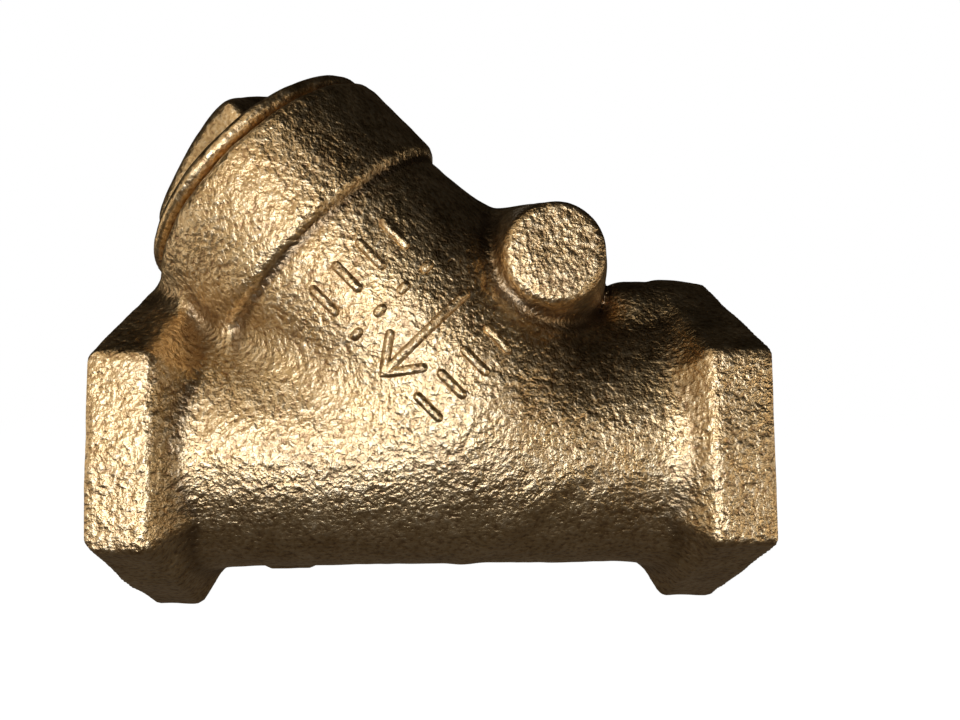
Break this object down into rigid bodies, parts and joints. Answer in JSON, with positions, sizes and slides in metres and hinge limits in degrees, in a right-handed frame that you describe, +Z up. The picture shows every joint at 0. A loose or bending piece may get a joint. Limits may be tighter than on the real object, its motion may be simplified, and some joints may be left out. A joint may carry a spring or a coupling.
{
  "type": "swing check valve",
  "caption": "Bronze Y-pattern swing check valve with threaded hexagonal ends, a screwed cap on an inclined neck and a swinging disc inside.",
  "frame": {"origin": "centre of the inlet mouth, on the axis of the run", "axes": "+X along the run, out of the inlet mouth; the outlet is at -X and flow runs towards -X; +Z up, the side the neck and cap lean out of; +Y towards the hinge pin plug"},
  "size_m": [0.075, 0.0386, 0.0696],
  "materials": {
    "cast_bronze": "as-cast sand grain, darkened",
    "turned_bronze": "turned, fine tool marks",
    "stainless_steel": "drawn, satin",
    "seat_facing": "white PTFE, matt",
    "gasket": "matt fibre"
  },
  "bodies": {
    "valve_body": {"body": "cast_bronze", "hinge_pin": "stainless_steel", "hinge_pin_plug": "turned_bronze"},
    "hanger": {"disc_hanger": "turned_bronze"},
    "disc": {"disc_holder": "turned_bronze", "seat_disc": "seat_facing", "seat_disc_washer": "turned_bronze", "seat_disc_nut": "turned_bronze", "hanger_washer": "turned_bronze", "hanger_nut": "turned_bronze", "cotter_pin": "stainless_steel"},
    "gasket": {"cap_gasket": "gasket"},
    "cap": {"cap": "cast_bronze"}
  },
  "joints": [
    {"name": "disc_swing", "type": "hinge", "parent": "valve_body", "child": "hanger", "pos_m": [-0.0237, 0, 0.022], "axis": [0, 1, 0], "range_deg": [0, 55]},
    {"name": "disc_spin", "type": "hinge", "parent": "hanger", "child": "disc", "pos_m": [-0.0264, 0, 0], "axis": [-0.6947, 0, 0.7193], "continuous": true},
    {"name": "cap_lift", "type": "slide", "parent": "valve_body", "child": "gasket", "axis": [-0.6947, 0, 0.7193], "range_m": [0, 0.01191]},
    {"name": "cap_turn", "type": "hinge", "parent": "gasket", "child": "cap", "pos_m": [-0.0264, 0, 0], "axis": [-0.6947, 0, 0.7193], "range_deg": [0, 2700]}
  ],
  "couplings": [
    {"joint": "cap_lift", "follows": "cap_turn", "m_per_rad": 0.00025266}
  ]
}
